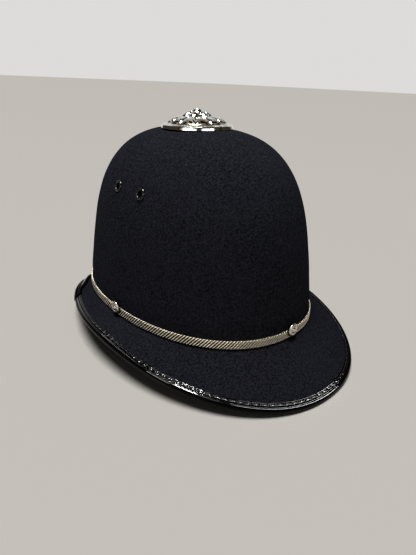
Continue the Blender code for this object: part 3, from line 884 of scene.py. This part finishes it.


# Stud shadow rings
# A thin round black ring is threaded on each stud, between its head and the band. It is painted shadow:
# it shows as a black line of shade round the head.

# Two near-black tones of the painted shadow ring
SHADOW_RING_DARK = (0.002, 0.002, 0.002, 1)
SHADOW_RING_LIGHT = (0.008, 0.008, 0.008, 1)

# Closed outline of the shadow ring
SHADOW_RING_OUTLINE = (
    {"radius": 0.00150, "out": 0.00052},
    {"radius": 0.00560, "out": 0.00052},
    {"radius": 0.00582, "out": 0.00036},
    {"radius": 0.00582, "out": -0.00020},
    {"radius": 0.00560, "out": -0.00036},
    {"radius": 0.00150, "out": -0.00036},
)


def shadow_ring_look():
    """Painted shadow round a stud head: near black and matte, with a little random grain."""
    shadow_ring = Finish("black_shadow_ring")
    grain = shadow_ring.cloud(900, 3.0, 0.6)
    shadow_ring.set(Base_Color=shadow_ring.mix(grain, SHADOW_RING_DARK, SHADOW_RING_LIGHT), Roughness=0.9)
    shadow_ring.set(Specular_IOR_Level=0.05, Normal=shadow_ring.bump(grain, 0.0001, 0.4))
    return shadow_ring.material


shadow_rings = []
for place in stud_places.values():
    shadow_rings.append(turned(SHADOW_RING_OUTLINE, STUD_SEGMENTS, place, STUD_BACK, closed=True))
new_piece("stud_shadow_rings", joined(shadow_rings), shadow_ring_look(), "felt")


# Vent eyelets
# Two black lacquered brass eyelets on each side let air out. Each is a rolled flange and a barrel in one
# piece, set through the felt and turned over inside.

EYELET_SEGMENTS = 48
LACQUER_BLACK = (0.010, 0.010, 0.011, 1)
LACQUER_WORN = (0.060, 0.055, 0.048, 1)
LACQUER_ROUGHNESS = (0.12, 0.30)

# Closed outline of the wall, from the hole's mouth out over the roll, in through the felt and back
EYELET_OUTLINE = (
    {"radius": 0.00275, "out": 0.00020},
    {"radius": 0.00282, "out": 0.00070},
    {"radius": 0.00310, "out": 0.00112},
    {"radius": 0.00350, "out": 0.00138},
    {"radius": 0.00395, "out": 0.00142},
    {"radius": 0.00440, "out": 0.00125},
    {"radius": 0.00480, "out": 0.00090},
    {"radius": 0.00505, "out": 0.00052},
    {"radius": 0.00509, "out": 0.00028},
    {"radius": 0.00490, "out": 0.00016},
    {"radius": 0.00335, "out": 0.00012},
    {"radius": 0.00335, "out": -0.00360},
    {"radius": 0.00400, "out": -0.00362},
    {"radius": 0.00420, "out": -0.00400},
    {"radius": 0.00400, "out": -0.00430},
    {"radius": 0.00300, "out": -0.00430},
    {"radius": 0.00276, "out": -0.00390},
)


def lacquer_look():
    """Black lacquer over brass, glossy, worn thin to a brownish grey here and there."""
    lacquer = Finish("black_lacquer")
    wear = lacquer.spread(lacquer.cloud(520, 4.0, 0.65), 0.58, 0.72)
    colour = lacquer.mix(wear, LACQUER_BLACK, LACQUER_WORN)
    lacquer.set(Base_Color=colour, Roughness=lacquer.spread(wear, 0, 1, *LACQUER_ROUGHNESS))
    lacquer.set(Metallic=0.2, Coat_Weight=0.5)
    lacquer.set(Normal=lacquer.bump(wear, 0.00006, 0.4))
    return lacquer.material


black_lacquer = lacquer_look()
eyelets = []
for node, place in eyelet_places.items():
    eyelet_mesh = turned(EYELET_OUTLINE, EYELET_SEGMENTS, place, closed=True)
    eyelets.append(new_piece("lacquered_" + node, eyelet_mesh, black_lacquer, "black_metal", node))


# Rose
# The rose is a pressed and pierced metal ventilator with a sloping rim, two rows of petals and a middle boss.
# Air leaves the crown through its windows. A threaded stem below holds it down on the felt.

ROSE_RADIUS = 0.0321
ROSE_HEIGHT = 0.0154
ROSE_SINK = 0.0003
ROSE_BASE = CROWN_FOOT_HEIGHT + CROWN_HEIGHT - ROSE_SINK
ROSE_SET_BACK = 0.001
ROSE_LEAN_DEGREES = 2.0
ROSE_METAL = 0.0011
ROSE_COLUMNS = 288
ROSE_STEM_RADIUS = 0.003
ROSE_STEM_FROM = 0.66 * ROSE_HEIGHT
ROSE_STEM_END = -0.0063
ROSE_SHARP_DEGREES = 50
ROSE_BRIGHT = (0.73, 0.75, 0.77, 1)
# Brown-olive tone laid on the plate in small sharp-edged patches: painted reflections of the room
ROSE_PAINTED_REFLECTION = (0.34, 0.31, 0.21, 1)
ROSE_REFLECTION_PATCH_SCALE = 230
ROSE_REFLECTION_PATCH_EDGE = (0.50, 0.58)

# Petals: how many, the share of the radius at their middle, their reach from there, and how far they stand up
OUTER_PETALS = {"count": 12, "middle": 0.62, "reach": 0.21, "lift": 0.0016}
INNER_PETALS = {"count": 6, "middle": 0.300, "reach": 0.135, "lift": 0.0022}

# How much of the heights below the seat is left at the back, and how fast it grows towards the front
ROSE_DROP_AT_BACK = 0.3
ROSE_DROP_GAIN = 0.77

# Inner side of the metal: the rows of the face that it follows, set in a little and with shallower petals
UNDER_ROWS = slice(6, -6, 2)
UNDER_SET_IN = 0.012
UNDER_PETALS = 0.85

# Turned shape of the rose's face before the petals are raised, as shares of its radius and height
ROSE_FACE = (
    {"radius": 1, "height": -0.065},
    {"radius": 0.9915, "height": 0.000},
    {"radius": 0.984, "height": 0.055},
    {"radius": 0.975, "height": 0.108},
    {"radius": 0.96, "height": 0.128},
    {"radius": 0.938, "height": 0.140},
    {"radius": 0.908, "height": 0.152},
    {"radius": 0.885, "height": 0.164},
    {"radius": 0.868, "height": 0.180},
    {"radius": 0.857, "height": 0.192},
    {"radius": 0.846, "height": 0.194},
    {"radius": 0.832, "height": 0.187},
    {"radius": 0.815, "height": 0.208},
    {"radius": 0.78, "height": 0.252},
    {"radius": 0.74, "height": 0.302},
    {"radius": 0.7, "height": 0.350},
    {"radius": 0.66, "height": 0.386},
    {"radius": 0.62, "height": 0.412},
    {"radius": 0.58, "height": 0.435},
    {"radius": 0.54, "height": 0.455},
    {"radius": 0.5, "height": 0.487},
    {"radius": 0.46, "height": 0.515},
    {"radius": 0.42, "height": 0.548},
    {"radius": 0.38, "height": 0.585},
    {"radius": 0.34, "height": 0.606},
    {"radius": 0.3, "height": 0.645},
    {"radius": 0.26, "height": 0.685},
    {"radius": 0.22, "height": 0.727},
    {"radius": 0.18, "height": 0.772},
    {"radius": 0.15, "height": 0.810},
    {"radius": 0.13, "height": 0.858},
    {"radius": 0.115, "height": 0.912},
    {"radius": 0.085, "height": 0.968},
    {"radius": 0.04, "height": 0.995},
)
ROSE_RIM_INSIDE = (
    {"radius": 0.985, "height": -0.065},
    {"radius": 0.972, "height": 0.000},
    {"radius": 0.955, "height": 0.045},
)

# Windows in plan, as shares of the rose's radius: one below each outer petal, a leaf between two of them,
# and an oval between two inner petals
WINDOW_FROM = 0.0004
WINDOW_TO = 0.022
LOWER_EDGE = ((0.802, -0.150), (0.812, -0.080), (0.815, 0.0), (0.812, 0.080), (0.802, 0.150))
ARCH = {"middle": 0.745, "rise": 0.085, "half_width": 0.142, "steps": 12}
LEAF = {"middle": 0.585, "half_length": 0.065, "half_width": 0.042, "steps": 14}
OVAL = {"middle": 0.300, "half_length": 0.050, "half_width": 0.038, "steps": 12}


def rose_lift(share, angle):
    """Height of the petals above the turned shape."""
    step = math.tau / OUTER_PETALS["count"]
    across = np.abs((angle / step + 0.5) % 1 - 0.5) * 2
    along = np.clip(1 - ((share - OUTER_PETALS["middle"]) / OUTER_PETALS["reach"]) ** 2, 0, 1)
    lift = OUTER_PETALS["lift"] * along**0.6 * (1 - across**2.2) ** 0.7
    step = math.tau / INNER_PETALS["count"]
    near = ((angle / step + 0.5) % 1 - 0.5) * step
    away = np.hypot(share * np.cos(near) - INNER_PETALS["middle"], share * np.sin(near))
    away = away / INNER_PETALS["reach"]
    return lift + INNER_PETALS["lift"] * np.clip(1 - away**2, 0, 1) ** 0.6


rose_turns = np.linspace(0, math.tau, ROSE_COLUMNS, endpoint=False) + FRONT
ring = np.stack([np.cos(rose_turns), np.sin(rose_turns), np.zeros(ROSE_COLUMNS)], -1)
rose_middle = crown_axis(1.0)
rose_middle[1] += ROSE_SET_BACK
rose_middle[2] = ROSE_BASE


def rose_row(share, height, petals):
    """Ring of the rose. Heights below its seat are cut short at the back, where the felt stands higher."""
    drop = np.minimum(1, ROSE_DROP_AT_BACK + ROSE_DROP_GAIN * (1 - np.sin(rose_turns))) if height < 0 else 1
    row = ring * share * ROSE_RADIUS + rose_middle
    row[:, 2] += height * drop * ROSE_HEIGHT + petals * rose_lift(share, rose_turns - FRONT)
    return row


face_shares = np.array([row["radius"] for row in ROSE_FACE])
face_heights = np.array([row["height"] for row in ROSE_FACE])
steps = np.linspace(0, len(ROSE_FACE) - 1, 3 * len(ROSE_FACE) - 2)
fine_shares = np.interp(steps, np.arange(len(ROSE_FACE)), face_shares)
fine_heights = np.interp(steps, np.arange(len(ROSE_FACE)), face_heights)
face_rows = [rose_row(share, height, 1.0) for share, height in zip(fine_shares, fine_heights)]
under_rows = []
for share, height in zip(face_shares[UNDER_ROWS], face_heights[UNDER_ROWS]):
    row = rose_row(share - UNDER_SET_IN, height, UNDER_PETALS)
    row[:, 2] -= ROSE_METAL
    under_rows.append(row)
rim = [rose_row(row["radius"], row["height"], 0.0) for row in ROSE_RIM_INSIDE]
stem = [ring * ROSE_STEM_RADIUS + rose_middle + np.array([0, 0, z]) for z in (ROSE_STEM_FROM, ROSE_STEM_END)]
rose_mesh = skin([*face_rows[::-1], *rim, *under_rows, *stem], low_cap=True, high_cap=True)

windows = bmesh.new()


def window(angle, points):
    """Add an upright prism over a plan of (radius, sideways) shares, turned to an angle."""
    turn = Matrix.Translation(Vector(rose_middle)) @ Matrix.Rotation(angle, 4, "Z")
    low, high = (
        [windows.verts.new(turn @ Vector((r * ROSE_RADIUS, s * ROSE_RADIUS, z))) for r, s in points]
        for z in (WINDOW_FROM, WINDOW_TO)
    )
    windows.faces.new(low)
    windows.faces.new(high[::-1])
    for i in range(len(points)):
        windows.faces.new([low[i - 1], high[i - 1], high[i], low[i]])


lower_window, leaf_window, oval_window = [*LOWER_EDGE], [], []
for i in range(ARCH["steps"] + 1):
    turn = math.pi * i / ARCH["steps"]
    lower_window.append((ARCH["middle"] - ARCH["rise"] * math.sin(turn), ARCH["half_width"] * math.cos(turn)))
for i in range(LEAF["steps"]):
    turn = math.tau * i / LEAF["steps"]
    along = LEAF["middle"] - LEAF["half_length"] * math.cos(turn)
    leaf_window.append((along, LEAF["half_width"] * math.sin(turn)))
for i in range(OVAL["steps"]):
    turn = math.tau * i / OVAL["steps"]
    along = OVAL["middle"] + OVAL["half_length"] * math.cos(turn)
    oval_window.append((along, OVAL["half_width"] * math.sin(turn)))
for petal in range(OUTER_PETALS["count"]):
    window(FRONT + math.tau * petal / OUTER_PETALS["count"], lower_window)
    window(FRONT + math.tau * (petal + 0.5) / OUTER_PETALS["count"], leaf_window)
for petal in range(INNER_PETALS["count"]):
    window(FRONT + math.tau * (petal + 0.5) / INNER_PETALS["count"], oval_window)
bmesh.ops.recalc_face_normals(windows, faces=windows.faces)
window_mesh = bpy.data.meshes.new("windows")
windows.to_mesh(window_mesh)
windows.free()
rose_seat = Vector(rose_middle)
rose_lean = Matrix.Rotation(math.radians(-ROSE_LEAN_DEGREES), 4, "X")
rose_lean = Matrix.Translation(rose_seat) @ rose_lean @ Matrix.Translation(-rose_seat)
# The rose's plate carries painted reflections in brown patches
rose_plate = plate_look("rose_plate", ROSE_BRIGHT, ROSE_PAINTED_REFLECTION, ROSE_REFLECTION_PATCH_SCALE, ROSE_REFLECTION_PATCH_EDGE)
pierced = cut_away(rose_mesh, window_mesh)
pierced.transform(rose_lean)
rose = new_piece("plated_rose", pierced, rose_plate, "chrome", "rose")
rose.data.set_sharp_from_angle(angle=math.radians(ROSE_SHARP_DEGREES))


# Rose disc
# A brown disc closes the rose from below. Its brown, seen through the windows, is painted light: it stands
# in for the light seen through them. It is spun with a raised ridge, and is clamped between the rose and the
# felt.

# Two browns of the painted light seen through the rose's windows
PAINTED_WINDOW_LIGHT_PALE = (0.42, 0.34, 0.24, 1)
PAINTED_WINDOW_LIGHT_DEEP = (0.25, 0.19, 0.12, 1)

# Closed outline: radius as a share of the rose's, height above its seat
DISC_OUTLINE = (
    {"radius": 0.100, "height": 0.0000},
    {"radius": 0.100, "height": 0.0006},
    {"radius": 0.600, "height": 0.0006},
    {"radius": 0.655, "height": 0.0040},
    {"radius": 0.675, "height": 0.0040},
    {"radius": 0.725, "height": 0.0008},
    {"radius": 0.900, "height": 0.0006},
    {"radius": 0.905, "height": 0.0003},
    {"radius": 0.900, "height": 0.0000},
)
disc_rows = []
for row in DISC_OUTLINE:
    disc_rows.append(ring * row["radius"] * ROSE_RADIUS + rose_middle + np.array([0, 0, row["height"]]))


def window_light_look():
    """Two browns in random mottled patches, a little metallic: painted light seen through the rose's windows.
    """
    brass = Finish("painted_window_light")
    window_light_mottle = brass.cloud(210, 4.0, 0.6)
    colour = brass.mix(brass.spread(window_light_mottle, 0.3, 0.7), PAINTED_WINDOW_LIGHT_PALE, PAINTED_WINDOW_LIGHT_DEEP)
    brass.set(Base_Color=colour, Metallic=0.15, Roughness=0.5)
    brass.set(Normal=brass.bump(window_light_mottle, 0.0002, 0.4))
    return brass.material


disc_mesh = skin(disc_rows, closed_rows=True)
disc_mesh.transform(rose_lean)
new_piece("rose_disc", disc_mesh, window_light_look(), "chrome")


# Stage, light and camera
# A plain pale floor under soft studio light: one broad light overhead and a weak panel in front. Each other
# lamp is there for one finish, because bright metal and glossy leather show little but what they reflect.

FLOOR_HALF = 30.0
FLOOR_COLOUR = (0.405, 0.389, 0.360, 1)
BACKDROP = (0.62, 0.61, 0.60, 1)
REFLECTED_ROOM = (0.06, 0.05, 0.037, 1)
ROOM_GLOW = (0.05, 0.05, 0.05, 1)
OVERHEAD_STRENGTH = 3.5
OVERHEAD_SPREAD_DEGREES = 30
OVERHEAD_DIRECTION = (0.10, -0.06, -1)
LAMP_TARGET = (0, 0, 0.08)

# Lamps: where they stand, how large they are, how bright their face is, and which pieces they shine on
LAMPS = {
    "front_panel": {"at": (-1.65, -1.75, 1.0), "size": (1.2, 1.2), "glow": 0.7, "on": "all"},
    "pale_wall": {"at": (2.2, 2.3, 1.5), "size": (6.0, 3.6), "glow": 0.55, "on": "metal"},
    "rose_lamp": {"at": (0.27, 0.32, 1.96), "size": (0.22, 0.22), "glow": 3.0, "on": "plated"},
    "rose_left_window": {"at": (-2.05, -0.72, 1.15), "size": (1.9, 0.6), "glow": 2.4, "on": "plated"},
    "rose_front_window": {"at": (-0.25, -2.10, 1.05), "size": (1.5, 0.6), "glow": 2.4, "on": "plated"},
    "band_panel": {"at": (-1.6, -1.7, 1.4), "size": (2.2, 1.6), "glow": 0.55, "on": "band"},
    "band_fill": {"at": (-2.0, 1.2, 0.9), "size": (2.0, 1.5), "glow": 4.6, "on": "band"},
    "band_side_panel": {"at": (-2.05, 1.43, 1.3), "size": (3.4, 1.8), "glow": 3.0, "on": "band"},
    "band_lamp": {"at": (-0.3, -0.3, 2.0), "size": (0.5, 0.5), "glow": 10.0, "on": "band"},
    "gloss_lamp": {"at": (0.31, 0.28, 1.96), "size": (0.24, 0.24), "glow": 1500.0, "on": "leather"},
    "gloss_strip": {"at": (0.99, -0.62, 1.62), "size": (0.35, 1.6), "glow": 120.0, "on": "leather"},
    "gloss_left_window": {"at": (-2.2, 0.05, 1.15), "size": (0.6, 0.4), "glow": 50.0, "on": "leather"},
    "gloss_rear_strip": {"at": (0.45, 1.20, 1.65), "size": (0.30, 0.9), "glow": 40.0, "on": "leather"},
    "gloss_wall": {"at": (0.5, 1.95, 1.1), "size": (2.2, 1.2), "glow": 1.5, "on": "leather"},
}

# These lamps shade the pieces, and all the others are seen only as reflections
SHADING_LAMPS = ("front_panel", "band_fill")

floor_mesh = bpy.data.meshes.new("floor")
corners = [(x * FLOOR_HALF, y * FLOOR_HALF, 0) for x, y in ((-1, -1), (1, -1), (1, 1), (-1, 1))]
floor_mesh.from_pydata(corners, [], [(0, 1, 2, 3)])
floor = bpy.data.objects.new("floor", floor_mesh)
bpy.context.scene.collection.objects.link(floor)
pale = Finish("pale_floor")
pale.set(Base_Color=FLOOR_COLOUR, Roughness=0.9)
floor_mesh.materials.append(pale.material)

bpy.context.scene.view_settings.view_transform = "Standard"
bpy.context.scene.view_settings.look = "Medium High Contrast"
world = bpy.data.worlds.new("studio")
bpy.context.scene.world = world
world.use_nodes = True
room = world.node_tree
ray = room.nodes.new("ShaderNodeLightPath").outputs


def seen_by(share, first, second):
    """Colour of the room: second for one kind of ray, first for the others."""
    node = room.nodes.new("ShaderNodeMix")
    node.data_type = "RGBA"
    room.links.new(share, node.inputs["Factor"])
    for socket, value in (("A", first), ("B", second)):
        if isinstance(value, bpy.types.NodeSocket):
            room.links.new(value, node.inputs[socket])
        else:
            node.inputs[socket].default_value = value
    return node.outputs["Result"]


colour = seen_by(ray["Is Glossy Ray"], ROOM_GLOW, REFLECTED_ROOM)
colour = seen_by(ray["Is Camera Ray"], colour, BACKDROP)
room.links.new(colour, room.nodes["Background"].inputs["Color"])


def softbox(name, lamp, group):
    """Panel of light with an even glow that faces the helmet, for a group of pieces or for all of them."""
    panel = bpy.data.lights.new(name, "AREA")
    panel.shape = "RECTANGLE"
    panel.size, panel.size_y = lamp["size"]
    panel.energy = lamp["glow"] * math.pi * panel.size * panel.size_y
    stand = bpy.data.objects.new(name, panel)
    bpy.context.scene.collection.objects.link(stand)
    stand.location = lamp["at"]
    stand.rotation_euler = (Vector(LAMP_TARGET) - Vector(lamp["at"])).to_track_quat("-Z", "Y").to_euler()
    stand.visible_camera = False
    stand.visible_diffuse = name in SHADING_LAMPS
    stand.visible_glossy = name not in SHADING_LAMPS
    if group:
        stand.light_linking.receiver_collection = group


def lit_group(name, pieces):
    """Collection of the pieces that a lamp is set for."""
    group = bpy.data.collections.new(name)
    for piece in pieces:
        group.objects.link(piece)
    return group


overhead = bpy.data.lights.new("overhead_light", "SUN")
overhead.energy = OVERHEAD_STRENGTH
overhead.angle = math.radians(OVERHEAD_SPREAD_DEGREES)
overhead_lamp = bpy.data.objects.new("overhead_light", overhead)
bpy.context.scene.collection.objects.link(overhead_lamp)
overhead_lamp.rotation_euler = Vector(OVERHEAD_DIRECTION).to_track_quat("-Z", "Y").to_euler()
groups = {
    "all": None,
    "plated": lit_group("plated_pieces", [rose, *studs, *eyelets]),
    "metal": lit_group("metal_pieces", [wire_band, rose, *studs, *eyelets]),
    "band": lit_group("band_pieces", [wire_band]),
    "leather": lit_group("glossy_leather", [binding]),
}
for name, lamp in LAMPS.items():
    softbox(name, lamp, groups[lamp["on"]])

CAMERA_DISTANCE = 0.3900
CAMERA_HEIGHT = 0.2275
CAMERA_AZIMUTH = -41.85
CAMERA_YAW = -1.97
CAMERA_PITCH = 25.27
CAMERA_ROLL = 2.63
CAMERA_NEAREST = 0.01
FOCAL_PIXELS = 417
IMAGE_HEIGHT = 555
SENSOR = 24.0

azimuth, facing = math.radians(CAMERA_AZIMUTH), math.radians(CAMERA_AZIMUTH + CAMERA_YAW)
pitch, roll = math.radians(CAMERA_PITCH), math.radians(CAMERA_ROLL)
backward = Vector((math.sin(facing) * math.cos(pitch), -math.cos(facing) * math.cos(pitch), math.sin(pitch)))
level = Vector((math.cos(facing), math.sin(facing), 0))
upright = backward.cross(level)
sideways = level * math.cos(roll) + upright * math.sin(roll)
upward = upright * math.cos(roll) - level * math.sin(roll)
lens = bpy.data.cameras.new("camera")
lens.sensor_fit = "VERTICAL"
lens.sensor_height = SENSOR
lens.lens = SENSOR * FOCAL_PIXELS / IMAGE_HEIGHT
lens.clip_start = CAMERA_NEAREST
camera = bpy.data.objects.new("camera", lens)
bpy.context.scene.collection.objects.link(camera)
camera.matrix_world = Matrix.Translation(
    (math.sin(azimuth) * CAMERA_DISTANCE, CROWN_SET_BACK - math.cos(azimuth) * CAMERA_DISTANCE, CAMERA_HEIGHT)
) @ Matrix((sideways, upward, backward)).transposed().to_4x4()
bpy.context.scene.camera = camera
